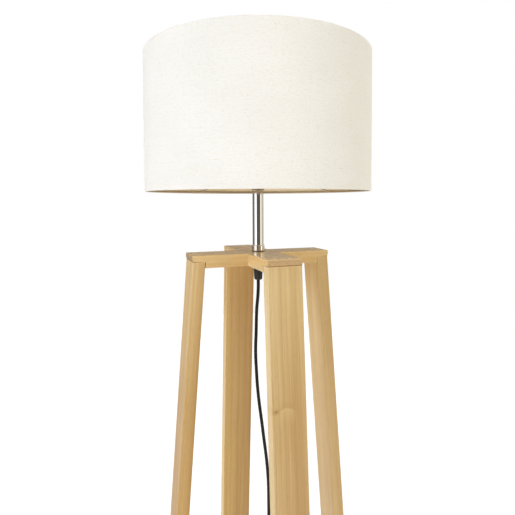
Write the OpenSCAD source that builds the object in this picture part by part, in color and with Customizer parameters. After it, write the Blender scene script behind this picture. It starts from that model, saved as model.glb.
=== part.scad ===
// Floor lamp: four splayed plank legs under a half-lapped cross, a chrome stem,
// an E27 lampholder and a linen drum shade, with a foot switch in its cord.
// Millimetres, +Z up, origin on the floor under the stem's axis.
// +X, +Y, -X and -Y are the right, back, left and front arms.

/* [Overall] */
// Height from the floor to the shade's upper rim
lamp_h = 1500; // [1300:10:1600]
// Gap between the top frame and the shade's lower rim
shade_gap = 108; // [100:2:140]

/* [Shade] */
// Outside diameter of the drum shade
shade_d = 400; // [360:10:410]
// Height of the drum shade
shade_h = 236; // [220:2:280]
// Depth of the fitter's washer above the lower rim
fitter_drop = 40; // [36:1:48]

/* [Top frame] */
// Length of each board of the cross, tip to tip
board_l = 254.8; // [240:0.4:280]
// Width of the boards and of the legs
board_w = 58.5; // [50:0.5:64]
// Thickness of the boards
board_t = 22; // [20:0.5:26]
// Thickness of the lip over a leg's top, at the leg's outer face
lip_t = 9.9; // [9:0.1:11]

/* [Legs] */
// Thickness of the legs
leg_t = 21.3; // [18:0.1:24]
// Splay of the legs from the vertical, in degrees
leg_splay = 4.19; // [3:0.01:5]
// Radius eased onto the long edges of legs and boards
edge_r = 1.2; // [0.6:0.1:2]

/* [Stem] */
// Outside diameter of the chrome tube
stem_d = 20; // [18:0.5:22]
// Outside diameter of the collars at its two ends
collar_d = 23.2; // [22.8:0.2:26]
// Height of the collars
collar_h = 12; // [8:1:12]

/* [Cord] */
// Diameter of the round mains cord
cord_d = 6; // [5.6:0.1:6]
// Travel of the foot switch's button
press_travel = 3; // [2:0.5:3]

/* [Hidden] */
$fn = 64;

// heights
shade_z = lamp_h - shade_h;            // shade's lower rim
top_z = shade_z - shade_gap;           // upper face of the cross
under_z = top_z - board_t;             // lower face of the cross
glide_t = 3;                           // glide under each leg
// legs
arm_r = board_l / 2;
leg_r = arm_r - 1.4;                   // outer face of a leg at its top
leg_z = top_z - lip_t;                 // outer edge of a leg's top
leg_mid = leg_r - leg_t / 2 * cos(leg_splay);
foot_r = leg_r + (leg_z - glide_t) * tan(leg_splay) - leg_t / 2 / cos(leg_splay);
screw_y = 13;                          // screws each side of an arm's middle
bore_d = 8;                            // counterbore and plug
bore_deep = 7;
// stem and holder
web_t = 2;
tube_z = top_z + web_t;
top_collar_z = shade_z + 3;
tube_top = top_collar_z + collar_h - web_t;
cap_z = top_collar_z + collar_h;       // underside of the lampholder
fit_z = shade_z + fitter_drop;         // underside of the fitter's washer
flange_z = fit_z - 0.3;                // shoulder that the washer lies over
rod_d = 10;
rod_bore = 7.4;
rod_z = under_z - 16;
gland_z = top_z - 52;                  // lower end of the gland
shade_r = shade_d / 2;
linen_t = 1.2;
lining_t = 0.6;
wire_r = 2;
ring_r = shade_r - linen_t - lining_t - wire_r - 0.06;

// ---------- cord route ----------
// Hanging stretch. Heights are for a gland 1104 above the floor and scale with it.
k = gland_z / 1104;
drop = [[0, 0, 1104], [0, 0, 1090], [-1, 0, 1072], [-3, 1, 1048], [-4, 1, 1012], [-5, 2, 972], [-4, 1, 938],
    [-2, 1, 906], [1, 0, 874], [5, -2, 840], [9, -3, 806], [13, -5, 770], [16, -6, 732], [17, -6, 690],
    [17, -6, 640], [16, -5, 580], [14, -4, 520], [12, -3, 460], [10, -1, 400], [8, 1, 340], [6, 3, 280],
    [5, 5, 230], [4, 8, 180]];
landing = [[2, 13, 135], [-2, 22, 95], [-9, 36, 58], [-19, 54, 29], [-30, 74, 11], [-38, 96, 4.2],
    [-42, 116, 3.1], [-47, 132, 3.1], [-59, 144, 3.1], [-76, 148, 3.6], [-92, 144, 4.8], [-104, 135, 6], [-109, 126, 6.7], [-110, 117, 7]];
route_drop = concat([for (p = drop) [p[0], p[1], p[2] * k]], landing);
// From the switch to the coil, and from the coil to the plug.
route_link = [[-110, -13, 7], [-110, -28, 6.6], [-110, -45, 4.6], [-110, -62, 3.9], [-110, -78, 3.9], [-110, -93, 3.9]];
route_end = [[-62, -131.9, 9.9], [-51, -131.7, 9.1], [-40, -131.3, 7.1], [-28, -131, 5.4], [-16, -131, 5.3], [-5, -131, 6.6], [4, -131, 7]];
coil_c = [-73, -95];
coil_r = 34;
switch_c = [-110, 52];
plug_c = [4, -131];

// ---------- helpers ----------
function unit(v) = v / norm(v);
// point at t in a smooth curve through p
function cat(p, i, t) = let (a = p[max(i - 1, 0)], b = p[i], c = p[i + 1], d = p[min(i + 2, len(p) - 1)])
    0.5 * (2 * b + (c - a) * t + (2 * a - 5 * b + 4 * c - d) * t * t + (3 * b - a - 3 * c + d) * t * t * t);
function smooth(p, n) = concat([for (i = [0:len(p) - 2], j = [0:n - 1]) cat(p, i, j / n)], [p[len(p) - 1]]);
function tangent(q, i) = unit(q[min(i + 1, len(q) - 1)] - q[max(i - 1, 0)]);
// side vectors carried along the curve, so that the tube doesn't twist
function carry(v, t) = unit(v - (v * t) * t);
function sides(q, first) = [for (i = 0, v = carry(first, tangent(q, 0)); i < len(q); i = i + 1, v = i < len(q) ? carry(v, tangent(q, i)) : v) v];
module sweep(q, r, n, first) {
    s = sides(q, first);
    m = len(q);
    pts = [for (i = [0:m - 1]) let (t = tangent(q, i), u = s[i], w = cross(t, u)) for (j = [0:n - 1])
        q[i] + r * (cos(360 * j / n) * u + sin(360 * j / n) * w)];
    polyhedron(pts, concat(
        [[for (j = [n - 1:-1:0]) j]],
        [for (i = [0:m - 2], j = [0:n - 1]) [i * n + j, i * n + (j + 1) % n, (i + 1) * n + (j + 1) % n]],
        [for (i = [0:m - 2], j = [0:n - 1]) [i * n + j, (i + 1) * n + (j + 1) % n, (i + 1) * n + j]],
        [[for (j = [0:n - 1]) (m - 1) * n + j]]), convexity = 6);
}
module rounded(x, y, r) {
    square([x - 2 * r, y], center = true);
    square([x, y - 2 * r], center = true);
    for (i = [-1, 1], j = [-1, 1]) translate([i * (x / 2 - r), j * (y / 2 - r)]) circle(r);
}
module ring(z, h, ro, ri) translate([0, 0, z]) difference() {
    cylinder(h = h, r = ro);
    translate([0, 0, -1]) cylinder(h = h + 2, r = ri);
}
module torus(z, big, small) translate([0, 0, z]) rotate_extrude() translate([big, 0]) circle(small);

// ---------- top frame ----------
// space that a leg's top takes out of an arm along +X
module leg_seat() translate([leg_r, 0, leg_z]) rotate([0, 180 - leg_splay, 0])
    translate([-8, -board_w / 2 - 1, 0]) cube([leg_t + 8 + 0.5, board_w + 2, 60]);
module arm_cuts() {
    leg_seat();
    // end face leans in below its upper edge
    translate([arm_r, 0, top_z]) rotate([0, 5.8, 0]) translate([0, -50, -50]) cube([20, 100, 80]);
    translate([arm_r, 0, top_z]) rotate([0, 45, 0]) cube([1.6, 100, 1.6], center = true);
    for (s = [-1, 1]) translate([leg_mid, s * screw_y, 0]) {
        translate([0, 0, top_z - bore_deep]) cylinder(h = bore_deep + 1, d = bore_d);
        translate([0, 0, leg_z - 5]) cylinder(h = 20, d = 4.4);
    }
}
module board() difference() {
    translate([-arm_r - 1, 0, top_z - board_t / 2]) rotate([90, 0, 90]) linear_extrude(board_l + 2) rounded(board_w, board_t, edge_r);
    arm_cuts();
    mirror([1, 0, 0]) arm_cuts();
    translate([0, 0, under_z - 1]) cylinder(h = board_t + 2, d = rod_d + 0.4);
}
module top_board_long() color([0.80, 0.66, 0.46]) difference() {
    board();
    translate([-board_w / 2, -board_w, under_z - 1]) cube([board_w, 2 * board_w, board_t / 2 + 1]);
}
module top_board_cross() color([0.78, 0.63, 0.43]) difference() {
    rotate([0, 0, 90]) board();
    translate([-board_w, -board_w / 2, top_z - board_t / 2]) cube([2 * board_w, board_w, board_t]);
}

// ---------- legs ----------
module leg(turn) rotate([0, 0, turn]) difference() {
    translate([leg_r, 0, leg_z]) rotate([0, 180 - leg_splay, 0])
        linear_extrude(leg_z / cos(leg_splay) + 10) translate([leg_t / 2, 0]) rounded(leg_t, board_w, edge_r);
    translate([0, -100, glide_t - 100]) cube([400, 200, 100]);
    for (s = [-1, 1]) translate([leg_mid, s * screw_y, leg_z - 46]) cylinder(h = 60, d = 4);
    translate([foot_r, 0, 0]) cylinder(h = glide_t + 12, d = 2.6);
}
module leg_right() color([0.84, 0.70, 0.50]) leg(0);
module leg_back() color([0.76, 0.60, 0.40]) leg(90);
module leg_left() color([0.84, 0.70, 0.50]) leg(180);
module leg_front() color([0.86, 0.73, 0.53]) leg(270);
module at_screws() for (a = [0:3], s = [-1, 1]) rotate([0, 0, 90 * a]) translate([leg_mid, s * screw_y, 0]) children();
// countersunk wood screw with its head at z = 0
module wood_screw(l) rotate_extrude() polygon([[0, 0], [3.8, 0], [3.8, -0.4], [1.96, -2.6], [1.96, 6 - l], [0, -l]]);
module leg_screws() color("silver") at_screws() translate([0, 0, top_z - bore_deep + 2.9]) difference() {
    wood_screw(42);
    for (a = [0, 90]) rotate([0, 0, a]) cube([4.2, 0.9, 2.4], center = true);
}
module screw_plugs() color([0.90, 0.80, 0.62]) at_screws() translate([0, 0, top_z - bore_deep + 3])
    rotate_extrude() polygon([[0, 0], [3.6, 0], [3.98, 0.5], [3.98, 3.8], [3.5, 4.15], [0, 4.25]]);
module foot_glides() color([0.25, 0.22, 0.2]) for (a = [0:3]) rotate([0, 0, 90 * a]) translate([foot_r, 0, 0])
    rotate_extrude() polygon([[0, 0], [8, 0], [9, 1], [9, glide_t], [1.25, glide_t], [1.25, glide_t + 9], [0, glide_t + 11]]);

// ---------- stem ----------
module stem_tube() color([0.85, 0.85, 0.86]) ring(tube_z, tube_top - tube_z, stem_d / 2, stem_d / 2 - 1);
module collar() rotate_extrude() polygon([[rod_d / 2 + 0.1, 0], [collar_d / 2 - 0.3, 0], [collar_d / 2, 0.3], [collar_d / 2, collar_h - 1.4],
    [collar_d / 2 - 0.5, collar_h - 0.5], [collar_d / 2 - 1.1, collar_h], [stem_d / 2, collar_h], [stem_d / 2, web_t], [rod_d / 2 + 0.1, web_t]]);
module collar_bottom() color([0.85, 0.85, 0.86]) translate([0, 0, top_z]) collar();
module collar_top() color([0.85, 0.85, 0.86]) translate([0, 0, cap_z]) mirror([0, 0, 1]) collar();
module threaded_rod() color("silver") ring(rod_z, cap_z + 7.5 - rod_z, rod_d / 2, rod_bore / 2);
module under_washer() color("silver") ring(under_z - 1.5, 1.5, 12, rod_d / 2 + 0.2);
module under_nut() color("silver") translate([0, 0, under_z - 6.5]) difference() {
    cylinder(h = 5, d = 17 / cos(30), $fn = 6);
    translate([0, 0, -1]) cylinder(h = 7, d = rod_d);
}
// tapered strain relief screwed onto the rod
module cord_gland() color([0.12, 0.11, 0.1]) difference() {
    translate([0, 0, gland_z]) rotate_extrude() polygon([[0, 0], [4.6, 0], [6.2, 0.5], [7.1, 1.5], [7.5, 3], [8, 15], [8, under_z - 6.5 - gland_z], [0, under_z - 6.5 - gland_z]]);
    translate([0, 0, rod_z]) cylinder(h = 40, d = rod_d);
    translate([0, 0, gland_z - 1]) cylinder(h = 60, d = cord_d + 0.2);
}
module inner_lead() color([0.12, 0.12, 0.12]) translate([0, 0, gland_z]) cylinder(h = cap_z + 7 - gland_z, d = cord_d);
module lead_cores() for (s = [-1, 1]) color(s > 0 ? [0.35, 0.2, 0.1] : [0.15, 0.3, 0.6])
    translate([s * 1.5, 0, cap_z + 8]) rotate([0, s * 42, 0]) {
        cylinder(h = 9.5, d = 2.2);
        translate([0, 0, 9.5]) sphere(d = 2.2);
        translate([0, 0, 9.5]) rotate([0, -s * 42, 0]) cylinder(h = 4.2, d = 2.2);
    }

// ---------- lampholder ----------
shell_h = 34;                          // skirt above the flange
module holder_cap() color([0.12, 0.12, 0.12]) translate([0, 0, cap_z]) rotate_extrude() polygon([[rod_d / 2, 0], [11, 0], [13, 0.6], [16.5, 4], [18.8, 8], [19.5, 12],
    [19.5, flange_z - 3.2 - cap_z], [17.7, flange_z - 3.2 - cap_z], [17.7, 12], [16.6, 8], [14, 4.6], [10, 3.5], [7, 3.5], [7, 9], [rod_d / 2, 9]]);
module holder_shell() color([0.14, 0.14, 0.14]) translate([0, 0, flange_z - 3]) difference() {
    union() {
        cylinder(h = 3, r = 24);
        cylinder(h = shell_h, r = 19.7);
    }
    translate([0, 0, -1]) cylinder(h = shell_h - 1, r = 17.7);
    cylinder(h = shell_h + 1, r = 14.6);
}
// thread line that the bulb's cap sits in
seat_z = cap_z + 28;
module holder_insert() color([0.9, 0.88, 0.84]) difference() {
    translate([0, 0, cap_z + 19]) cylinder(h = flange_z + 24 - cap_z - 19, r = 17.2);
    translate([0, 0, seat_z - 2]) cylinder(h = 60, r = 14.5);
    for (s = [-1, 1]) translate([s * 8, 0, cap_z]) cylinder(h = 25, d = 2.6);
    for (s = [-1, 1]) translate([s * 8, -18, cap_z + 22.5]) rotate([-90, 0, 0]) cylinder(h = 18, d = 3.3);
}
module holder_thread_shell() color([0.85, 0.7, 0.35]) ring(seat_z + 1, flange_z + 22 - seat_z, 14.3, 13.8);
module holder_centre_contact() color([0.85, 0.7, 0.35]) {
    translate([0, 0, seat_z - 2]) cylinder(h = 0.6, r = 6);
    translate([0, 0, seat_z - 1.4]) cylinder(h = 1.4, r1 = 5, r2 = 2.5);
}
module holder_terminal_screws() color("silver") for (s = [-1, 1]) translate([s * 8, -14.2, cap_z + 22.5]) rotate([-90, 0, 0]) difference() {
    cylinder(h = 11, d = 3.2);
    cube([3, 0.6, 1.4], center = true);
}
module shade_clamp_ring() color([0.14, 0.14, 0.14]) difference() {
    translate([0, 0, fit_z + 2.3]) union() {
        cylinder(h = 2.5, r = 27.5);
        cylinder(h = 11, r = 23.5);
        for (a = [0:11]) rotate([0, 0, 30 * a]) translate([23, 0, 1]) cylinder(h = 9.2, r = 1.2);
    }
    translate([0, 0, fit_z]) cylinder(h = 20, r = 19.75);
}

// ---------- bulb ----------
bulb_z = seat_z + 27;                  // top of the bulb's metal cap
module bulb_contact() color("silver") translate([0, 0, seat_z]) cylinder(h = 1.6, r1 = 3.5, r2 = 4.6);
module bulb_insulator() color([0.1, 0.1, 0.1]) translate([0, 0, seat_z + 1.6]) cylinder(h = 3.4, r1 = 5, r2 = 11.6);
module bulb_cap() color([0.8, 0.8, 0.8]) translate([0, 0, seat_z + 5]) rotate_extrude() polygon(concat(
    [[10.5, 0], [12, 0]], [for (i = [0:5], p = [[12.4, 0.5], [13.1, 1.5], [13.1, 2.1], [12.4, 3.1]]) [p[0], p[1] + 3.2 * i]],
    [[12.9, 20], [12.9, 22], [12.1, 22], [11.4, 1], [10.5, 1]]));
module bulb_collar() color([0.95, 0.95, 0.93]) translate([0, 0, bulb_z]) rotate_extrude() polygon([[10, 0], [13.4, 0], [15, 4], [19, 15], [22.5, 22], [22.5, 23.5], [20.8, 23.5], [17.2, 15], [13, 4], [10, 3]]);
module bulb_globe() color([0.97, 0.97, 0.95]) translate([0, 0, bulb_z + 43]) difference() {
    union() {
        sphere(r = 30);
        translate([0, 0, -19.5]) cylinder(h = 5, r1 = 22.5, r2 = 26);
    }
    sphere(r = 28.8);
    translate([0, 0, -60]) cylinder(h = 40.5, r = 40);
    translate([0, 0, -21]) cylinder(h = 8, r = 21.4);
}

// ---------- shade ----------
module shade_fitter() color([0.72, 0.71, 0.68]) {
    torus(shade_z + 2.4, ring_r, wire_r);
    ring(fit_z, 2, 30, 20.4);
    lean = atan((fit_z - 0.6 - shade_z - 2.4) / (ring_r - 28));
    for (a = [0:3]) rotate([0, 0, 20 + 90 * a]) translate([28, 0, fit_z - 0.6]) rotate([0, 90 + lean, 0])
        cylinder(h = (ring_r - 28) / cos(lean), r = 1.6);
}
module shade_top_ring() color([0.72, 0.71, 0.68]) torus(lamp_h - 2.4, ring_r, wire_r);
module shade_lining() color([0.80, 0.69, 0.50]) ring(shade_z + 0.4, shade_h - 0.8, shade_r - linen_t, shade_r - linen_t - lining_t);
module shade_linen() color([0.96, 0.94, 0.88]) ring(shade_z, shade_h, shade_r, shade_r - linen_t);

// ---------- cord, switch and plug ----------
module cord_drop() color([0.1, 0.1, 0.1]) sweep(smooth(route_drop, 2), cord_d / 2, 10, [1, 0, 0]);
module cord_link() color([0.1, 0.1, 0.1]) sweep(route_link, cord_d / 2, 10, [1, 0, 0]);
module cord_end() color([0.1, 0.1, 0.1]) sweep(route_end, cord_d / 2, 10, [0, 1, 0]);
module cord_coil() color([0.1, 0.1, 0.1]) translate([coil_c[0], coil_c[1], 6.9]) rotate_extrude() translate([coil_r, 0]) rounded(12, 12, 3);
// hook-and-loop tie round the coil's section
module cord_tie() color([0.2, 0.2, 0.2]) translate([coil_c[0], coil_c[1], 0]) rotate([0, 0, 235]) translate([coil_r, 0, 6.9]) rotate([90, 0, 0])
    translate([0, 0, -5]) linear_extrude(10) difference() {
        rounded(14.2, 13.6, 3.6);
        rounded(12.8, 12.3, 3);
    }

sw_l = 86;
sw_w = 54;
sw_split = 9;
sw_top = 24;
btn_r = 16.6;
btn_top = sw_top + 2 + press_travel;   // button's top when it is up
module pill2(l, w) {
    square([l - w, w], center = true);
    for (i = [-1, 1]) translate([i * (l - w) / 2, 0]) circle(d = w);
}
module pill(l, w, h) linear_extrude(h) pill2(l, w);
// a pill whose sides lean in by d over its height
module lean_pill(l, w, h, d) {
    c = (l - w) / 2;
    for (i = [-1, 1]) translate([i * c, 0, 0]) cylinder(h = h, r1 = w / 2, r2 = w / 2 - d);
    translate([-c, 0, 0]) rotate([90, 0, 90]) linear_extrude(2 * c) polygon([[-w / 2, 0], [w / 2, 0], [w / 2 - d, h], [d - w / 2, h]]);
}
module at_switch() translate([switch_c[0], switch_c[1], 0]) rotate([0, 0, 90]) children();
module lead_ways(r) for (i = [-1, 1]) translate([i * (sw_l / 2 - 14), 0, 7]) rotate([0, i * 90, 0]) cylinder(h = 30, r = r);
module switch_base() color([0.13, 0.13, 0.13]) at_switch() difference() {
    union() {
        pill(sw_l - 3, sw_w - 3, 2);
        translate([0, 0, 2]) pill(sw_l, sw_w, sw_split - 2);
    }
    translate([0, 0, 2]) pill(sw_l - 5, sw_w - 5, 20);
    lead_ways(4.4);
    for (i = [-1, 1]) translate([i * 26, i * 15, 0]) {
        translate([0, 0, -1]) cylinder(h = 5, d = 3);
        translate([0, 0, -1]) cylinder(h = 2.2, d = 6);
    }
}
module switch_cover() color([0.13, 0.13, 0.13]) at_switch() { switch_boss(); difference() {
    union() {
        translate([0, 0, sw_split]) pill(sw_l, sw_w, 9);
        translate([0, 0, sw_split + 9]) lean_pill(sw_l, sw_w, sw_top - sw_split - 9, 4);
    }
    translate([0, 0, sw_split - 1]) pill(sw_l - 5, sw_w - 5, 9);
    translate([0, 0, sw_split + 7]) pill(sw_l - 12, sw_w - 12, 6);
    cylinder(h = 40, r = btn_r + 0.4);
    lead_ways(4.4);
} }
module switch_boss() for (i = [-1, 1]) translate([i * 26, i * 15, 2.2]) difference() {
    cylinder(h = 15.4, r = 3);
    translate([0, 0, -1]) cylinder(h = 12, r = 1.3);
}
module switch_button() color([0.2, 0.2, 0.2]) at_switch() difference() {
    union() {
        translate([0, 0, 19]) cylinder(h = 2.6, r = 19);
        translate([0, 0, 19]) cylinder(h = btn_top - 20.4, r = btn_r);
        translate([0, 0, btn_top - 1.4]) cylinder(h = 1.4, r1 = btn_r, r2 = btn_r - 1.8);
    }
    translate([0, 0, 18]) cylinder(h = 6, r = 8.4);
    // grip rings in the top
    for (r = [7, 11]) ring(btn_top - 0.4, 1, r + 0.5, r - 0.5);
}
// mechanism block between the two leads
module switch_block() color([0.75, 0.73, 0.68]) at_switch() difference() {
    translate([-17, -13, 2]) cube([34, 26, 10]);
    translate([0, 0, 8]) cylinder(h = 6, r = 4);
}
module switch_spring() color("silver") at_switch()
    sweep([for (a = [0:24:5 * 360]) [6 * cos(a), 6 * sin(a), 12.6 + 10.8 * a / 1800]], 0.55, 8, [1, 0, 0]);
module switch_contacts() color([0.85, 0.7, 0.35]) at_switch() for (i = [-1, 1]) translate([i * 20.6 - 3.4, -4, 4]) cube([6.8, 8, 1.2]);
module switch_screws() color("silver") at_switch() for (i = [-1, 1]) translate([i * 26, i * 15, 0.2]) difference() {
    union() {
        cylinder(h = 1, r1 = 2.9, r2 = 2.5);
        cylinder(h = 11, r = 1.25);
    }
    cube([4, 0.7, 0.8], center = true);
}
// tapered sleeve along +X from the housing, l long
module relief(l, r1, r2) difference() {
    rotate([0, 90, 0]) rotate_extrude() polygon(concat([[0, -4], [r1 + 0.2, -4], [r1 + 0.2, 0], [r1, 0]],
        [for (i = [0:3]) for (p = [[0, 0.9], [-0.7, 1.1], [-0.7, 2.1], [0, 2.3]]) [r1 + (r2 - r1) * (i + 0.5) / 4.6 + p[0], 2.5 + i * 4.2 + p[1]]],
        [[r2, l], [0, l]]));
    rotate([0, 90, 0]) translate([0, 0, -5]) cylinder(h = l + 4, r = cord_d / 2 - 0.3);
}
module switch_reliefs() color([0.1, 0.1, 0.1]) at_switch() for (a = [0, 180]) rotate([0, 0, a]) translate([sw_l / 2, 0, 7]) relief(22, 4.2, 3.3);

module plug_body() color([0.1, 0.1, 0.1]) translate([plug_c[0] + 24, plug_c[1], 7]) difference() {
    rotate([90, 0, 0]) translate([0, 0, -17.6]) linear_extrude(35.2) translate([17, 0]) rounded(34, 13.7, 3.2);
    for (s = [-1, 1]) translate([-1, s * 24.8, 0]) rotate([0, 0, -s * 24]) cube([30, 24, 20], center = true);
    for (s = [-1, 1]) translate([34 - 10, s * 9.3, 0]) rotate([0, 90, 0]) cylinder(h = 20, d = 3.4);
    rotate([0, 90, 0]) cylinder(h = 8, r = 4.4, center = true);
}
module plug_pins() color([0.85, 0.8, 0.6]) for (s = [-1, 1]) translate([plug_c[0] + 24 + 24, plug_c[1] + s * 9.3, 7]) rotate([0, 90, 0]) {
    cylinder(h = 10, d = 3.4);
    translate([0, 0, 10]) cylinder(h = 18, d = 4);
    translate([0, 0, 28]) cylinder(h = 1, r1 = 2, r2 = 1.3);
}
module plug_relief() color([0.1, 0.1, 0.1]) translate([plug_c[0] + 24, plug_c[1], 7]) rotate([0, 0, 180]) relief(24, 4.2, 3.3);

top_board_long();
top_board_cross();
leg_right();
leg_back();
leg_left();
leg_front();
leg_screws();
screw_plugs();
foot_glides();
stem_tube();
collar_bottom();
collar_top();
threaded_rod();
under_washer();
under_nut();
cord_gland();
inner_lead();
lead_cores();
holder_cap();
holder_shell();
holder_insert();
holder_thread_shell();
holder_centre_contact();
holder_terminal_screws();
shade_clamp_ring();
bulb_globe();
bulb_collar();
bulb_cap();
bulb_insulator();
bulb_contact();
shade_fitter();
shade_top_ring();
shade_lining();
shade_linen();
cord_drop();
switch_base();
switch_cover();
switch_button();
switch_spring();
switch_block();
switch_contacts();
switch_screws();
switch_reliefs();
cord_link();
cord_coil();
cord_end();
cord_tie();
plug_body();
plug_pins();
plug_relief();
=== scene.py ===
import math

import bmesh
import bpy
import numpy as np
from mathutils import Matrix, Vector


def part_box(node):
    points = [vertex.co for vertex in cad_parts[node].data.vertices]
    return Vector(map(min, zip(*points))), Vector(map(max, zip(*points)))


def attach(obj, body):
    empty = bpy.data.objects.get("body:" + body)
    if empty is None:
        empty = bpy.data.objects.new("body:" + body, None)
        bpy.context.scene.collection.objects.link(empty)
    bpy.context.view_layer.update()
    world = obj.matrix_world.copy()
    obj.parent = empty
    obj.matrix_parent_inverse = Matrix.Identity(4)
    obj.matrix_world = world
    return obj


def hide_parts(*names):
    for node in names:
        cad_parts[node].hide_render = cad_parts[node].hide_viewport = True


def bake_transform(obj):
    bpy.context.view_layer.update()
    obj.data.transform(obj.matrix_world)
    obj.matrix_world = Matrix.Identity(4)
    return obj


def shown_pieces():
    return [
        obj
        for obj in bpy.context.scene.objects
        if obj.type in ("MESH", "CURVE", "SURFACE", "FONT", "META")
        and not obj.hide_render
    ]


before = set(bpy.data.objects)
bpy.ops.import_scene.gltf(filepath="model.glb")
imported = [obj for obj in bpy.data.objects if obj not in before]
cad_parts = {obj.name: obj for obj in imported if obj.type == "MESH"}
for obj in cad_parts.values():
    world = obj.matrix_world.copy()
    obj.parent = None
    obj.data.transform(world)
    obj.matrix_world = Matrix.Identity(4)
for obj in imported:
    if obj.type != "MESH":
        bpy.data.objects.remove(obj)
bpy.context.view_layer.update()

scene = bpy.context.scene
D = bpy.data


# ---------------------------------------------------------------- camera
def make_camera():
    data = D.cameras.new("camera")
    cam = D.objects.new("camera", data)
    scene.collection.objects.link(cam)
    ahead, pitch, roll = Vector((0.336, 0.942, 0)).normalized(), 0.0402, -0.0037
    look = (ahead * math.cos(pitch) - Vector((0, 0, 1)) * math.sin(pitch)).normalized()
    right = look.cross(Vector((0, 0, 1))).normalized()
    up = right.cross(look)
    # a positive roll turns the picture clockwise
    r2 = right * math.cos(roll) + up * math.sin(roll)
    u2 = up * math.cos(roll) - right * math.sin(roll)
    m = Matrix((r2, u2, -look)).transposed().to_4x4()
    m.translation = Vector((-0.2777, -0.7778, 1.2463))
    cam.matrix_world = m
    data.sensor_width = 36.0
    data.lens = 31.754
    data.shift_x = -0.0008
    data.shift_y = -0.0729
    data.clip_start, data.clip_end = 0.02, 60
    data.dof.use_dof = False
    scene.camera = cam
    return cam


make_camera()


# ---------------------------------------------------------------- mesh helpers
def new_object(name, verts, faces, smooth=True):
    me = D.meshes.new(name)
    me.from_pydata([tuple(v) for v in verts], [], [tuple(f) for f in faces])
    me.validate()
    me.update()
    if smooth:
        me.polygons.foreach_set("use_smooth", [True] * len(me.polygons))
    o = D.objects.new(name, me)
    scene.collection.objects.link(o)
    return o


def catmull(points, per):
    p = np.array(points, float)
    q = np.vstack([2 * p[0] - p[1], p, 2 * p[-1] - p[-2]])
    out = []
    for i in range(1, len(q) - 2):
        a, b, c, d = q[i - 1], q[i], q[i + 1], q[i + 2]
        for k in range(per):
            t = k / per
            out.append(
                0.5
                * (
                    2 * b
                    + (c - a) * t
                    + (2 * a - 5 * b + 4 * c - d) * t * t
                    + (3 * b - a - 3 * c + d) * t**3
                )
            )
    out.append(p[-1])
    return np.array(out)


def resample(line, step):
    along = np.concatenate(
        [[0], np.cumsum(np.linalg.norm(np.diff(line, axis=0), axis=1))]
    )
    at = np.linspace(0, along[-1], max(2, int(round(along[-1] / step)) + 1))
    return np.stack([np.interp(at, along, line[:, k]) for k in range(3)], axis=1)


def soften(line, times):
    """Averages each point with its neighbours; the ends stay."""
    line = line.copy()
    for _ in range(times):
        line[1:-1] = 0.25 * line[:-2] + 0.5 * line[1:-1] + 0.25 * line[2:]
    return line


def tube(name, line, radius, sides=20, first=(1, 0, 0), profile=None):
    """A closed tube along line. profile gives the radius at each ring instead of one radius."""
    line = np.array(line, float)
    n = len(line)
    t = np.gradient(line, axis=0)
    t /= np.linalg.norm(t, axis=1)[:, None]
    u = np.array(first, float)
    verts, faces = [], []
    for i in range(n):
        u = u - (u @ t[i]) * t[i]
        u /= np.linalg.norm(u)
        w = np.cross(t[i], u)
        r = radius if profile is None else profile[i]
        for j in range(sides):
            a = 2 * math.pi * j / sides
            verts.append(line[i] + r * (math.cos(a) * u + math.sin(a) * w))
    for i in range(n - 1):
        for j in range(sides):
            k = (j + 1) % sides
            faces.append(
                (i * sides + j, i * sides + k, (i + 1) * sides + k, (i + 1) * sides + j)
            )
    faces.append(tuple(range(sides - 1, -1, -1)))
    faces.append(tuple((n - 1) * sides + j for j in range(sides)))
    return new_object(name, verts, faces)


# ---------------------------------------------------------------- cords
CORD_D = 0.006
MM = 0.001
DROP = [
    [0, 0, 1104], [0, 0, 1090], [-1, 0, 1072], [-3, 1, 1048], [-4, 1, 1012], [-5, 2, 972],
    [-4, 1, 938], [-2, 1, 906], [1, 0, 874], [5, -2, 840], [9, -3, 806], [13, -5, 770],
    [16, -6, 732], [17, -6, 690], [17, -6, 640], [16, -5, 580], [14, -4, 520], [12, -3, 460],
    [10, -1, 400], [8, 1, 340], [6, 3, 280], [5, 5, 230], [4, 8, 180], [2, 13, 135],
    [-2, 22, 95], [-9, 36, 58], [-19, 54, 29], [-30, 74, 11], [-38, 96, 4.2], [-42, 116, 3.1],
    [-47, 132, 3.1], [-59, 144, 3.1], [-76, 148, 3.6], [-92, 144, 4.8], [-104, 135, 6],
    [-109, 126, 6.7], [-110, 117, 7], [-110, 112, 7],
]
LINK = [
    [-110, -8, 7], [-110, -13, 7], [-110, -28, 6.6], [-110, -45, 4.6], [-110, -62, 3.9],
    [-110, -78, 3.9], [-110, -93, 3.9],
]
TAIL = [
    [-62, -131.9, 9.9], [-51, -131.7, 9.1], [-40, -131.3, 7.1], [-28, -131, 5.4],
    [-16, -131, 5.3], [-5, -131, 6.6], [4, -131, 7], [9, -131, 7],
]
COIL_C = (-73.0, -95.0)
# (angle in degrees, radius, height) round the coil; between two rows the cord moves over in an even S
WIND = [
    (180, 37, 3.9), (435, 37, 3.9), (540, 31, 3.9), (720, 31, 3.9), (795, 31, 9.9),
    (990, 31, 9.9), (1080, 37, 9.9), (1350, 37, 9.9),
]


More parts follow.
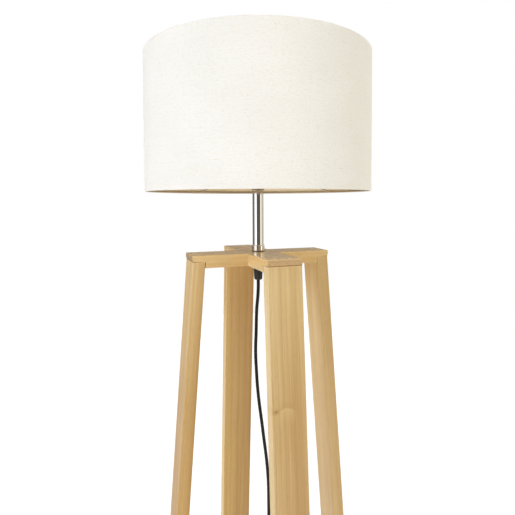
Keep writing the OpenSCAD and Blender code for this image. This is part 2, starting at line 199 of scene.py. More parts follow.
def winding():
    out = []
    for (a0, r0, z0), (a1, r1, z1) in zip(WIND, WIND[1:]):
        for a in np.arange(a0, a1, 5.0):
            t = (a - a0) / (a1 - a0)
            s = 0.5 - 0.5 * math.cos(math.pi * t)
            r, z = r0 + (r1 - r0) * s, z0 + (z1 - z0) * s
            # a real coil isn't quite round
            r += 0.35 * math.sin(math.radians(2 * a + 40)) * min(1, (a - 180) / 60, (1350 - a) / 60)
            c = math.radians(a)
            out.append([COIL_C[0] + r * math.cos(c), COIL_C[1] + r * math.sin(c), z])
    c = math.radians(1350)
    out.append([COIL_C[0] + 37 * math.cos(c), COIL_C[1] + 37 * math.sin(c), 9.9])
    return out


line_a = soften(resample(catmull(DROP, 8) * MM, 0.003), 3)
flex_drop = tube("flex_drop", line_a, CORD_D / 2)
line_b = catmull(LINK, 6).tolist()[:-1] + [LINK[-1]] + winding() + catmull(TAIL, 6).tolist()
line_b = soften(resample(np.array(line_b) * MM, 0.0025), 3)
flex_coiled = tube("flex_coiled", line_b, CORD_D / 2, first=(0, 0, 1))


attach(flex_drop, "base")
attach(flex_coiled, "base")
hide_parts("cord_drop")
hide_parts("cord_link", "cord_coil", "cord_end")


# ---------------------------------------------------------------- the coil's tie
def make_tie():
    """A hook-and-loop strap round the coil's section, with its end lapped over the start and a loose tail."""
    a = math.radians(235)
    centre = Vector((COIL_C[0] + 34 * math.cos(a), COIL_C[1] + 34 * math.sin(a), 6.9))
    out = Vector((math.cos(a), math.sin(a), 0))
    along = Vector((-math.sin(a), math.cos(a), 0))
    up = Vector((0, 0, 1))
    path = []
    n = 72
    for i in range(n + 1):
        t = 2 * math.pi * i / n + math.radians(70)
        # a rounded square, 12.4 mm across
        c, s = math.cos(t), math.sin(t)
        k = 6.28 / ((abs(c) ** 5 + abs(s) ** 5) ** 0.2)
        path.append((c * k, s * k))
    # the lap lies on the start of the strap, then the tail lifts off
    lap = []
    for i in range(14):
        t = 2 * math.pi * i / n + math.radians(70)
        c, s = math.cos(t), math.sin(t)
        k = (6.28 + 0.75 * min(1, (i + 1) / 3)) / ((abs(c) ** 5 + abs(s) ** 5) ** 0.2)
        lap.append((c * k, s * k))
    path = path[:-2] + lap
    last, before = np.array(path[-1]), np.array(path[-2])
    d = (last - before) / np.linalg.norm(last - before)
    for i in range(1, 7):
        d = d + 0.05 * np.array([-d[1], d[0]]) * -1
        d /= np.linalg.norm(d)
        last = last + d * 0.9
        path.append(tuple(last))
    p = np.array(path)
    t = np.gradient(p, axis=0)
    t /= np.linalg.norm(t, axis=1)[:, None]
    nrm = np.stack([t[:, 1], -t[:, 0]], axis=1)
    half_t, half_w = 0.32, 5.0
    verts, faces = [], []
    # a cross-section with eased edges
    sec = [(-half_t, -half_w + 0.15), (-half_t, half_w - 0.15), (-half_t * 0.5, half_w), (half_t * 0.5, half_w),
           (half_t, half_w - 0.15), (half_t, -half_w + 0.15), (half_t * 0.5, -half_w), (-half_t * 0.5, -half_w)]
    m = len(sec)
    for i in range(len(p)):
        for e, w in sec:
            x, y = p[i] + nrm[i] * e
            verts.append((centre + out * x + up * y + along * w) * MM)
    for i in range(len(p) - 1):
        for j in range(m):
            k = (j + 1) % m
            faces.append((i * m + j, i * m + k, (i + 1) * m + k, (i + 1) * m + j))
    faces.append(tuple(range(m - 1, -1, -1)))
    faces.append(tuple((len(p) - 1) * m + j for j in range(m)))
    o = new_object("flex_tie", verts, faces)
    bm = bmesh.new()
    bm.from_mesh(o.data)
    bmesh.ops.recalc_face_normals(bm, faces=bm.faces)
    bm.to_mesh(o.data)
    bm.free()
    return o


tie = make_tie()
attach(tie, "base")
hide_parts("cord_tie")

# ---------------------------------------------------------------- the foot switch's spring
def make_spring():
    """A compression spring with closed ends, drawn at its rest length."""
    lo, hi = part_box("switch_spring")
    cx, cy = (lo[0] + hi[0]) / 2, (lo[1] + hi[1]) / 2
    wire = 0.00055
    bottom, top, turns = lo[2] + wire, hi[2] - wire, 6.5
    line, n = [], int(turns * 28)
    for i in range(n + 1):
        t = i / n
        # the first and last turn lie flat against their neighbours
        e = 0.12
        rise = t + e * math.sin(2 * math.pi * t) * -1
        a = 2 * math.pi * turns * t
        line.append((cx + 0.006 * math.cos(a), cy + 0.006 * math.sin(a), bottom + (top - bottom) * rise))
    o = tube("press_spring", line, wire, sides=12, first=(0, 0, 1))
    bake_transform(o)
    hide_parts("switch_spring")
    return o


spring = make_spring()


# ---------------------------------------------------------------- shade
R_OUT, Z0, Z1 = 0.200, 1.264, 1.500
SEAM = math.radians(70.3)  # the lapped seam is at the back


def revolve(name, profile, n=288, bump=None, extra=()):
    """Turns a closed profile of (radius, height) round Z. bump(angle, r, z) moves the radius; extra adds angles."""
    verts, faces = [], []
    m = len(profile)
    angles = [2 * math.pi * i / n for i in range(n)]
    angles = sorted([a for a in angles if all(abs(a - e) > 0.0015 for e in extra)] + list(extra))
    for a in (SEAM + a for a in angles):
        for r, z in profile:
            rr = r if bump is None else r + bump(a, r, z)
            verts.append((rr * math.cos(a), rr * math.sin(a), z))
    for i in range(len(angles)):
        k = (i + 1) % len(angles)
        for j in range(m):
            l = (j + 1) % m
            faces.append((i * m + j, k * m + j, k * m + l, i * m + l))
    return new_object(name, verts, faces)


def linen_profile():
    """From the outside up, over the rolled rim, down the inside hem, and back under the lower rim."""
    t = 0.00045
    ring = R_OUT - 0.0006
    pts = []
    zs = np.concatenate([
        np.linspace(Z0 + 0.0012, Z0 + 0.010, 6), np.linspace(Z0 + 0.014, Z1 - 0.014, 40), np.linspace(Z1 - 0.010, Z1 - 0.0012, 6)])
    for z in zs:
        pts.append((R_OUT - 0.00015, z))
    # rolled upper rim, 1.2 mm round
    for a in np.linspace(0, 180, 9)[1:-1]:
        c = math.radians(a)
        pts.append((R_OUT - 0.00115 + 0.001 * math.cos(c), Z1 - 0.0011 + 0.001 * math.sin(c)))
    inner = R_OUT - 0.00215
    for z in (Z1 - 0.0012, Z1 - 0.0022):
        pts.append((inner, z))
    pts.append((R_OUT - 0.0014, Z1 - 0.0024))
    for z in np.linspace(Z1 - 0.006, Z0 + 0.006, 24):
        pts.append((R_OUT - 0.0012, z))
    pts.append((R_OUT - 0.0014, Z0 + 0.0024))
    for z in (Z0 + 0.0022, Z0 + 0.0012):
        pts.append((inner, z))
    for a in np.linspace(180, 360, 9)[1:-1]:
        c = math.radians(a)
        pts.append((R_OUT - 0.00115 + 0.001 * math.cos(c), Z0 + 0.0011 + 0.001 * math.sin(c)))
    return pts


LAP = 0.010  # width of the seam's lap


def linen_bump(a, r, z):
    """The turned hem stands proud by a thread, and the lap ends in a step one cloth high."""
    out = 0.0
    if r > R_OUT - 0.0007:
        edge = min(z - Z0, Z1 - z)
        out -= 0.00010 * min(1, max(0, (edge - 0.0095) / 0.002))
        out += 0.00008 * math.sin(3 * a + 1.1) + 0.00006 * math.sin(7 * a + 40 * z)
        past = ((a - SEAM) % (2 * math.pi)) * R_OUT
        if past < LAP + 0.003:
            out += 0.00040 * min(1, (LAP + 0.003 - past) / 0.004)
    return out


AT_SEAM = [x / R_OUT for x in (0.0, 0.0012, 0.003, 0.006, LAP - 0.001, LAP + 0.001, LAP + 0.003)] + [2 * math.pi - x / R_OUT for x in (0.00035, 0.0015)]
linen = revolve("linen_cover", linen_profile(), bump=linen_bump, extra=AT_SEAM)
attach(linen, "shade")
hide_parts("shade_linen")


def lining_profile():
    ro, ri = R_OUT - 0.00125, R_OUT - 0.00178
    zs = np.linspace(Z0 + 0.0026, Z1 - 0.0026, 40)
    return [(ro, z) for z in zs] + [(ri, z) for z in zs[::-1]]


liner = revolve("shade_liner", lining_profile(), n=240)
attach(liner, "shade")
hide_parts("shade_lining")


# ---------------------------------------------------------------- materials
class Mat:
    """A small builder of node materials. Coordinates are the object's own, in metres."""

    def __init__(self, name):
        self.m = D.materials.new(name)
        self.m.use_nodes = True
        self.t = self.m.node_tree
        self.t.nodes.clear()
        self.out = self.n("ShaderNodeOutputMaterial")
        self.b = self.n("ShaderNodeBsdfPrincipled")
        self.t.links.new(self.b.outputs[0], self.out.inputs["Surface"])
        self.co = self.n("ShaderNodeTexCoord").outputs["Object"]

    def n(self, kind, **props):
        node = self.t.nodes.new(kind)
        for k, v in props.items():
            setattr(node, k, v)
        return node

    def link(self, a, b):
        self.t.links.new(a, b)

    def put(self, **values):
        for k, v in values.items():
            self.b.inputs[k.replace("_", " ")].default_value = v
        return self

    def math(self, op, a, b=None, c=None, clamp=False):
        node = self.n("ShaderNodeMath", operation=op, use_clamp=clamp)
        for i, v in enumerate((a, b, c)):
            if v is None:
                continue
            if isinstance(v, (int, float)):
                node.inputs[i].default_value = v
            else:
                self.link(v, node.inputs[i])
        return node.outputs[0]

    def mapping(self, co, scale=(1, 1, 1), rotation=(0, 0, 0), location=(0, 0, 0)):
        node = self.n("ShaderNodeMapping")
        self.link(co, node.inputs["Vector"])
        node.inputs["Scale"].default_value = scale
        node.inputs["Rotation"].default_value = rotation
        node.inputs["Location"].default_value = location
        return node.outputs[0]

    def noise(self, co, scale, detail=2.0, rough=0.5, distortion=0.0):
        node = self.n("ShaderNodeTexNoise")
        self.link(co, node.inputs["Vector"])
        node.inputs["Scale"].default_value = scale
        node.inputs["Detail"].default_value = detail
        node.inputs["Roughness"].default_value = rough
        node.inputs["Distortion"].default_value = distortion
        return node.outputs[0]

    def span(self, value, a, b, c=0.0, d=1.0, smooth=False):
        """value from a..b to c..d, clamped."""
        node = self.n("ShaderNodeMapRange", interpolation_type="SMOOTHSTEP" if smooth else "LINEAR")
        self.link(value, node.inputs["Value"])
        for k, v in (("From Min", a), ("From Max", b), ("To Min", c), ("To Max", d)):
            node.inputs[k].default_value = v
        return node.outputs[0]

    def ramp(self, value, stops):
        node = self.n("ShaderNodeValToRGB")
        self.link(value, node.inputs[0])
        el = node.color_ramp.elements
        while len(el) > len(stops):
            el.remove(el[-1])
        while len(el) < len(stops):
            el.new(0.5)
        for e, (at, colour) in zip(el, stops):
            e.position = at
            e.color = (*colour, 1)
        return node.outputs[0]

    def mix(self, factor, a, b, kind="MIX"):
        node = self.n("ShaderNodeMix", data_type="RGBA", blend_type=kind)
        for s, v in ((node.inputs[0], factor), (node.inputs[6], a), (node.inputs[7], b)):
            if isinstance(v, (int, float)):
                s.default_value = v
            elif isinstance(v, tuple):
                s.default_value = (*v, 1) if len(v) == 3 else v
            else:
                self.link(v, s)
        return node.outputs[2]

    def bump(self, height, strength, distance):
        node = self.n("ShaderNodeBump")
        node.inputs["Strength"].default_value = strength
        node.inputs["Distance"].default_value = distance
        self.link(height, node.inputs["Height"])
        last = self.b.inputs["Normal"]
        if last.is_linked:
            self.link(last.links[0].from_socket, node.inputs["Normal"])
        self.link(node.outputs[0], last)
        return self

    def colour(self, socket):
        self.link(socket, self.b.inputs["Base Color"])
        return self

    def rough(self, socket):
        self.link(socket, self.b.inputs["Roughness"])
        return self


def srgb(r, g, b):
    return tuple(((x / 255) / 12.92) if x / 255 <= 0.04045 else ((x / 255 + 0.055) / 1.055) ** 2.4 for x in (r, g, b))


def wood(name, grain, seed, light, mid, dark, lean=(0, 0, 0), figure=1.0, rough=0.38, coat=0.15, spec=0.45, ends=None, heart=None, seam=None, sides=None, painted_fall=None, cross=None, knot=None):
    """Light straight-grained hardwood under clear lacquer. grain is the axis that the fibres run along."""
    k = Mat(name)
    # turn the object so that the fibres lie along the texture's Z
    turn = {"X": (0, math.radians(-90), 0), "Y": (math.radians(90), 0, 0), "Z": (0, 0, 0)}[grain]
    co = k.mapping(k.co, rotation=lean)
    co = k.mapping(co, rotation=turn, location=seed)
    wobble = k.mapping(co, scale=(6, 6, 1.3))
    warp = k.n("ShaderNodeTexNoise")
    k.link(wobble, warp.inputs["Vector"])
    warp.inputs["Scale"].default_value = 1.0
    warp.inputs["Detail"].default_value = 2.0
    shift = k.n("ShaderNodeVectorMath", operation="MULTIPLY_ADD")
    k.link(warp.outputs["Color"], shift.inputs[0])
    shift.inputs[1].default_value = (0.016, 0.016, 0)
    k.link(co, shift.inputs[2])
    warped = shift.outputs[0]
    # growth rings about a pith well outside the board
    ring_co = k.mapping(warped, location=(0.085, 0.055, 0))
    wave = k.n("ShaderNodeTexWave", wave_type="RINGS", rings_direction="Z", wave_profile="SAW")
    k.link(k.mapping(ring_co, scale=(1, 1, 0.03)), wave.inputs["Vector"])
    wave.inputs["Scale"].default_value = 34
    wave.inputs["Distortion"].default_value = 1.2
    wave.inputs["Detail"].default_value = 2.0
    wave.inputs["Detail Scale"].default_value = 3.0
    rings = wave.outputs["Fac"]
    bands = k.noise(k.mapping(warped, scale=(40, 40, 1.1)), 1.0, 3.0, 0.55)
    streaks = k.noise(k.mapping(warped, scale=(270, 270, 4.5)), 1.0, 4.0, 0.62)
    lines = k.noise(k.mapping(warped, scale=(1150, 1150, 9)), 1.0, 3.0, 0.6)
    fibres = k.noise(k.mapping(co, scale=(900, 900, 22)), 1.0, 2.0, 0.5)
    pores = k.noise(k.mapping(co, scale=(1500, 1500, 70)), 1.0, 1.0, 0.4)
    pore = k.span(pores, 0.62, 0.74, 0, 1)
    mottle = k.noise(k.mapping(co, scale=(14, 14, 7)), 1.0, 2.0, 0.5)
    base = k.ramp(k.span(bands, 0.28, 0.74), [(0.0, dark), (0.42, mid), (1.0, light)])
    ring_dark = k.span(rings, 0.55, 1.0, 0.0, 0.30 * figure)
    c = k.mix(ring_dark, base, tuple(x * f for x, f in zip(dark, (0.86, 0.78, 0.66))))
    c = k.mix(k.span(streaks, 0.40, 0.80, 0.0, 0.36 * figure), c, tuple(x * f for x, f in zip(dark, (0.88, 0.80, 0.70))))
    c = k.mix(k.span(streaks, 0.40, 0.22, 0.0, 0.30 * figure), c, tuple(min(1, x * 1.08) for x in light))
    c = k.mix(k.span(lines, 0.46, 0.72, 0.0, 0.34 * figure), c, tuple(x * f for x, f in zip(dark, (0.90, 0.82, 0.72))))
    c = k.mix(k.span(lines, 0.46, 0.26, 0.0, 0.26), c, tuple(min(1, x * 1.10) for x in light))
    c = k.mix(k.span(fibres, 0.45, 0.75, 0.0, 0.18), c, tuple(x * 0.74 for x in mid))
    if heart is not None:
        # a darker stripe of heartwood along the board, on one side of its middle
        middle, half, much = heart
        sep = k.n("ShaderNodeSeparateXYZ")
        k.link(k.co, sep.inputs[0])
        wander = k.span(k.noise(k.mapping(k.co, scale=(2, 2, 3.2)), 1.0, 2.0, 0.5), 0.2, 0.8, middle - 0.007, middle + 0.007)
        away = k.math("ABSOLUTE", k.math("SUBTRACT", sep.outputs["X"], wander))
        stripe = k.math("MULTIPLY", k.span(away, half, half * 0.25, 0, much, smooth=True), k.span(lines, 0.34, 0.60, 0.35, 1.0))
        c = k.mix(stripe, c, tuple(x * f for x, f in zip(dark, (0.92, 0.91, 0.82))))
    c = k.mix(k.math("MULTIPLY", pore, 0.30), c, tuple(x * f for x, f in zip(dark, (0.62, 0.50, 0.38))))
    c = k.mix(k.span(mottle, 0.35, 0.70, 0.0, 0.16), c, tuple(x * f for x, f in zip(mid, (0.92, 0.88, 0.80))))
    if ends is not None:
        # end grain, darker, where the surface is cut across the fibres
        geo = k.n("ShaderNodeTexCoord")
        dot = k.n("ShaderNodeVectorMath", operation="DOT_PRODUCT")
        k.link(geo.outputs["Normal"], dot.inputs[0])
        dot.inputs[1].default_value = {"X": (1, 0, 0), "Y": (0, 1, 0), "Z": (0, 0, 1)}[grain]
        across = k.span(k.math("ABSOLUTE", dot.outputs["Value"]), 0.80, 0.95)
        arcs = k.n("ShaderNodeTexWave", wave_type="RINGS", rings_direction="Z", wave_profile="SIN")
        k.link(k.mapping(ring_co, scale=(1, 1, 0.03)), arcs.inputs["Vector"])
        arcs.inputs["Scale"].default_value = 70
        arcs.inputs["Distortion"].default_value = 4.5
        arcs.inputs["Detail"].default_value = 3.0
        arcs.inputs["Detail Scale"].default_value = 2.0
        cut = k.ramp(arcs.outputs["Fac"], [(0.0, tuple(x * 0.84 for x in ends)), (0.35, ends), (1.0, tuple(min(1, x * 1.08) for x in ends))])
        cut = k.mix(k.span(lines, 0.42, 0.7, 0, 0.35), cut, tuple(x * 0.72 for x in ends))
        c = k.mix(k.math("MULTIPLY", across, 0.9), c, cut)
    if knot is not None:
        # a pin knot near one edge, with the pale shoulder of the grain that closed over it
        at = k.n("ShaderNodeSeparateXYZ")
        k.link(k.co, at.inputs[0])
        stray = k.noise(k.mapping(k.co, scale=(260, 260, 260)), 1.0, 2.0, 0.5)
        dx = k.math("SUBTRACT", at.outputs["X"], knot[0])
        dz = k.math("SUBTRACT", at.outputs["Z"], knot[1])
        r = k.math("SQRT", k.math("ADD", k.math("POWER", k.math("MULTIPLY", dx, 0.72), 2.0), k.math("POWER", dz, 2.0)))
        r = k.math("ADD", r, k.span(stray, 0.2, 0.8, -0.0009, 0.0009))
        c = k.mix(k.span(r, 0.0075, 0.0020, 0, 0.42, smooth=True), c, tuple(x * f for x, f in zip(dark, (0.92, 0.80, 0.64))))
        c = k.mix(k.span(r, 0.0027, 0.0012, 0, 0.55, smooth=True), c, tuple(x * f for x, f in zip(dark, (0.55, 0.38, 0.24))))
        # the shoulder: an arch to the right of the knot
        arch = k.math("SUBTRACT", k.math("ADD", dz, k.math("MULTIPLY", k.math("POWER", k.math("SUBTRACT", dx, 0.017), 2.0), 26.0)), 0.0035)
        arch = k.math("ADD", arch, k.span(stray, 0.2, 0.8, -0.0012, 0.0012))
        wide = k.math("MULTIPLY", k.span(dx, 0.004, 0.008), k.span(dx, 0.034, 0.026))
        under = k.math("MULTIPLY", k.span(arch, 0.0006, -0.0010), k.span(arch, -0.0260, -0.0030))
        c = k.mix(k.math("MULTIPLY", k.math("MULTIPLY", wide, under), 0.34), c, tuple(min(1, x * 1.06) for x in light))
        over = k.math("MULTIPLY", k.span(arch, 0.0000, 0.0012), k.span(arch, 0.0120, 0.0016))
        c = k.mix(k.math("MULTIPLY", k.math("MULTIPLY", wide, over), 0.30), c, tuple(x * f for x, f in zip(dark, (0.97, 0.90, 0.80))))
    if painted_fall is not None:
        # painted light and shade: each plank is painted lighter or darker from top to bottom, for how the light lands
        # along it
        low, high, below, above = painted_fall
        height = k.n("ShaderNodeSeparateXYZ")
        k.link(k.co, height.inputs[0])
        c = k.mix(1.0, c, k.mix(k.span(height.outputs["Z"], low, high), below, above), "MULTIPLY")
    if cross is not None:
        # and painted light and shade from one edge of the plank to the other
        half, left, right = cross
        width = k.n("ShaderNodeSeparateXYZ")
        k.link(k.co, width.inputs[0])
        c = k.mix(1.0, c, k.mix(k.span(width.outputs["X"], -half, half), left, right), "MULTIPLY")
    if sides is not None:
        # painted light: the faces square to X are painted paler than the faces square to Y, as if more light fell on
        # them, by an amount that changes with height
        low, high, below, above = sides
        level = k.n("ShaderNodeSeparateXYZ")
        k.link(k.co, level.inputs[0])
        facing = k.n("ShaderNodeSeparateXYZ")
        k.link(k.n("ShaderNodeTexCoord").outputs["Normal"], facing.inputs[0])
        painted_side_light = k.mix(1.0, c, k.mix(k.span(level.outputs["Z"], low, high), below, above), "MULTIPLY")
        c = k.mix(k.span(k.math("ABSOLUTE", facing.outputs["X"]), 0.55, 0.85), c, painted_side_light)
    if seam is not None:
        # a painted shadow line in the joint round the leg's top, and a painted highlight on the eased edge under it
        level = k.n("ShaderNodeSeparateXYZ")
        k.link(k.co, level.inputs[0])
        ragged = k.math("ADD", level.outputs["Z"], k.span(k.noise(k.mapping(k.co, scale=(150, 150, 0)), 1.0, 2.0, 0.5), 0.2, 0.8, -0.0003, 0.0003))
        c = k.mix(k.span(ragged, seam - 0.0032, seam - 0.0022, 0, 0.35, smooth=True), c, tuple(min(1, x * 1.15) for x in light))
        c = k.mix(k.span(ragged, seam - 0.0018, seam - 0.0012, 0, 0.9), c, tuple(x * f for x, f in zip(dark, (0.50, 0.38, 0.28))))
    k.colour(c)
    k.put(Roughness=rough, Coat_Weight=coat, Coat_Roughness=0.16, Coat_IOR=1.5, Specular_IOR_Level=spec)
    smear = k.noise(k.mapping(co, scale=(25, 25, 9)), 1.0, 3.0, 0.6)
    k.rough(k.math("ADD", k.span(smear, 0.3, 0.7, rough - 0.05, rough + 0.07), k.math("MULTIPLY", pore, 0.12)))
    height = k.math("SUBTRACT", k.math("MULTIPLY", streaks, 0.5), k.math("MULTIPLY", pore, 0.6))
    k.bump(height, 0.12 if ends is None else 0.05, 0.00018)
    k.bump(k.noise(k.mapping(co, scale=(30, 30, 5)), 1.0, 2.0, 0.5), 0.10 if ends is None else 0.03, 0.0003)
    return k.m


LIGHT, MID, DARK = srgb(217, 190, 138), srgb(205, 173, 118), srgb(186, 149, 94)
BOARD = srgb(233, 208, 156), srgb(224, 193, 137), srgb(206, 168, 108)
# the back leg's palette: a darker, redder copy of the leg wood, painted shade for the leg that stands behind the others
SHADED_BACK = srgb(209, 170, 109), srgb(194, 152, 89), srgb(174, 128, 70)
END = srgb(178, 144, 97)


def lean_of(side):
    s = math.radians(4.19)
    return {"right": (0, s, 0), "left": (0, -s, 0), "back": (-s, 0, 0), "front": (s, 0, 0)}[side]


mats = {}
LEG_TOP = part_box("leg_front")[1][2]
KNOT_Z = 0.9235
# the legs' settings below paint light and shade into the wood: faces square to X painted paler, each leg painted
# lighter or darker along its height and across its width, and a painted shadow line and painted highlight at its top
mats["leg_front"] = wood("wood_leg_front", "Z", (0.31, 0.12, 0.2), LIGHT, MID, DARK, lean_of("front"), figure=1.1, heart=(0.011, 0.013, 0.80), seam=LEG_TOP, sides=(0.9, 1.1, (1.20, 1.28, 1.38), (1.17, 1.24, 1.34)), painted_fall=(0.92, 1.11, (0.89, 0.86, 0.81), (1.09, 1.18, 1.36)), cross=(0.029, (0.95, 0.94, 0.92), (1.0, 0.99, 0.98)), knot=(-0.0226, KNOT_Z))
mats["leg_left"] = wood("wood_leg_left", "Z", (0.05, 0.63, 0.9), LIGHT, MID, DARK, lean_of("left"), figure=0.9, coat=0.0, spec=0.15, seam=LEG_TOP, painted_fall=(0.90, 1.10, (0.89, 0.82, 0.73), (1.04, 1.04, 1.09)), sides=(0.93, 1.06, (0.86, 0.82, 0.70), (1.03, 1.08, 1.17)))
mats["leg_right"] = wood("wood_leg_right", "Z", (0.13, 0.91, 2.3), LIGHT, MID, DARK, lean_of("right"), figure=0.9, seam=LEG_TOP, sides=(0.69, 1.11, (0.99, 0.97, 0.91), (1.12, 1.12, 1.06)), painted_fall=(0.69, 1.11, (0.97, 0.96, 0.92), (1.04, 1.07, 1.08)))
mats["leg_back"] = wood("wood_leg_back", "Z", (0.57, 0.66, 3.7), *SHADED_BACK, lean_of("back"), figure=0.95, seam=LEG_TOP, painted_fall=(0.60, 1.11, (1.08, 1.14, 1.12), (1.0, 1.0, 1.0)), cross=(0.029, (1.14, 1.26, 1.38), (0.93, 0.94, 0.92)))
mats["top_board_long"] = wood("wood_board_long", "X", (0.22, 0.35, 0.6), *BOARD, figure=0.7, rough=0.27, coat=0.4, ends=END)
mats["top_board_cross"] = wood("wood_board_cross", "Y", (0.71, 0.15, 1.9), *BOARD, figure=0.7, rough=0.27, coat=0.4, ends=END)


def plug_wood():
    k = Mat("wood_plugs")
    rings = k.noise(k.mapping(k.co, scale=(900, 260, 900)), 1.0, 3.0, 0.6)
    c = k.ramp(k.span(rings, 0.3, 0.75), [(0, srgb(240, 222, 184)), (0.55, srgb(228, 202, 156)), (1, srgb(196, 160, 112))])
    k.colour(c)
    k.put(Roughness=0.34, Coat_Weight=0.5, Coat_Roughness=0.2)
    k.rough(k.span(k.noise(k.mapping(k.co, scale=(300, 300, 300)), 1.0), 0.3, 0.7, 0.28, 0.42))
    k.bump(rings, 0.3, 0.0002)
    return k.m


mats["screw_plugs"] = plug_wood()


def metal(name, colour, rough, streak=None, spread=0.05, scale=260, bump=0.02, foot=None):
    k = Mat(name)
    k.put(Metallic=1.0, Roughness=rough)
    co = k.co if streak is None else k.mapping(k.co, scale=streak)
    haze = k.noise(k.mapping(k.co, scale=(scale, scale, scale)), 1.0, 3.0, 0.6)
    fine = k.noise(co, 900.0 if streak is None else 1.0, 2.0, 0.5)
    c = k.mix(k.span(haze, 0.35, 0.75, 0, 0.35), colour, tuple(x * 0.88 for x in colour))
    if foot is not None:
        # painted shade and painted reflection: the lowest couple of millimetres are painted near black, for the dark
        # joint under the edge
        level = k.n("ShaderNodeSeparateXYZ")
        k.link(k.co, level.inputs[0])
        low = k.math("ADD", level.outputs["Z"], k.span(haze, 0.3, 0.7, -0.0002, 0.0002))
        c = k.mix(k.span(low, foot + 0.0024, foot + 0.0014, 0, 0.85, smooth=True), c, (0.035, 0.036, 0.038))
    k.colour(c)
    k.rough(k.math("ADD", k.span(haze, 0.3, 0.7, rough * 0.7, rough + spread), k.span(fine, 0.4, 0.7, 0, spread * 0.5)))
    k.bump(fine, bump, 0.00005)
    return k.m


chrome = metal("chrome", (0.82, 0.79, 0.75), 0.05, streak=(1500, 1500, 30), spread=0.04, scale=120, bump=0.012)
for n in ("stem_tube", "collar_bottom", "collar_top"):
    mats[n] = chrome
# the collars get a painted dark band along their lower edge: painted shade and a painted dark reflection in the joint
for n in ("collar_bottom", "collar_top"):
    mats[n] = metal(n + "_chrome", (0.82, 0.79, 0.75), 0.05, streak=(1500, 1500, 30), spread=0.04, scale=120, bump=0.012, foot=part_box(n)[0][2])
zinc = metal("zinc_plated", (0.62, 0.62, 0.63), 0.30, spread=0.18, scale=380, bump=0.1)
for n in ("threaded_rod", "under_washer", "under_nut", "leg_screws", "holder_terminal_screws", "switch_screws"):
    mats[n] = zinc
mats["press_spring"] = metal("spring_steel", (0.55, 0.55, 0.57), 0.22, scale=700)
brass = metal("brass", (0.80, 0.58, 0.26), 0.24, spread=0.14, scale=420, bump=0.05)
for n in ("holder_thread_shell", "holder_centre_contact", "switch_contacts"):
    mats[n] = brass
mats["plug_pins"] = metal("nickel", (0.74, 0.70, 0.62), 0.2, streak=(60, 1800, 1800), spread=0.12, scale=300, bump=0.05)
mats["bulb_cap"] = metal("aluminium", (0.74, 0.74, 0.75), 0.34, spread=0.12, scale=500, bump=0.06)
mats["bulb_contact"] = metal("solder", (0.60, 0.60, 0.60), 0.4, spread=0.15, scale=900, bump=0.2)


def plastic(name, colour, rough, grain=2600, depth=0.06, spec=0.5, lift=1.35, patch=60, coat=0.0):
    """Moulded plastic: a spark-eroded skin, faint flow marks, and dust in the grain."""
    k = Mat(name)
    k.put(Roughness=rough, Specular_IOR_Level=spec, Coat_Weight=coat, Coat_Roughness=0.12)
    skin = k.noise(k.mapping(k.co, scale=(grain, grain, grain)), 1.0, 2.0, 0.5)
    flow = k.noise(k.mapping(k.co, scale=(patch, patch, patch * 1.7)), 1.0, 4.0, 0.6)
    c = k.mix(k.span(flow, 0.3, 0.75, 0, 0.6), colour, tuple(min(1, x * lift + 0.002) for x in colour))
    c = k.mix(k.span(skin, 0.60, 0.80, 0, 0.25), c, tuple(min(1, x * lift * 1.3 + 0.006) for x in colour))
    k.colour(c)
    k.rough(k.math("ADD", k.span(flow, 0.3, 0.7, rough - 0.05, rough + 0.06), k.span(skin, 0.4, 0.7, 0, 0.05)))
    k.bump(skin, depth, 0.0001)
    return k.m


black = plastic("black_plastic", (0.014, 0.0125, 0.011), 0.42, depth=0.12, spec=0.35)
for n in ("cord_gland", "holder_cap", "holder_shell", "shade_clamp_ring", "switch_base", "switch_cover", "plug_body"):
    mats[n] = black
mats["switch_button"] = plastic("button_plastic", (0.034, 0.033, 0.032), 0.36, depth=0.18)
relief_pvc = plastic("relief_pvc", (0.020, 0.019, 0.018), 0.5, grain=1800, depth=0.1)
for n in ("switch_reliefs", "plug_relief"):
    mats[n] = relief_pvc
mats["holder_insert"] = plastic("ceramic", (0.78, 0.74, 0.66), 0.22, grain=900, depth=0.08, lift=0.94, coat=0.5)
mats["bulb_collar"] = plastic("white_plastic", (0.83, 0.83, 0.80), 0.32, grain=1800, depth=0.05, lift=0.96)
mats["bulb_insulator"] = plastic("glass_black", (0.012, 0.012, 0.016), 0.12, grain=500, depth=0.05, coat=0.6)
mats["switch_block"] = plastic("moulding_beige", (0.55, 0.51, 0.43), 0.5, lift=0.9)
mats["foot_glides"] = plastic("glide_nylon", (0.060, 0.045, 0.035), 0.55, grain=1400, depth=0.2)
mats["lead_cores"] = plastic("core_pvc", (0.20, 0.085, 0.03), 0.4, grain=1500, depth=0.05)
wire = metal("plated_wire", (0.40, 0.32, 0.22), 0.32, spread=0.16, scale=420, bump=0.06)
mats["shade_fitter"] = wire
mats["shade_top_ring"] = wire


def opal():
    k = Mat("opal_globe")
    k.put(Roughness=0.22, Coat_Weight=0.35, Coat_Roughness=0.08, Subsurface_Weight=0.25, Subsurface_Scale=0.01)
    cloud = k.noise(k.mapping(k.co, scale=(40, 40, 40)), 1.0, 3.0, 0.5)
    dust = k.noise(k.mapping(k.co, scale=(900, 900, 900)), 1.0, 1.0, 0.5)
    c = k.mix(k.span(cloud, 0.3, 0.7), (0.86, 0.85, 0.81), (0.90, 0.89, 0.86))
    c = k.mix(k.span(dust, 0.66, 0.78, 0, 0.2), c, (0.66, 0.62, 0.55))
    k.colour(c)
    k.rough(k.span(cloud, 0.3, 0.7, 0.18, 0.28))
    k.bump(cloud, 0.05, 0.0003)
    return k.m


mats["bulb_globe"] = opal()


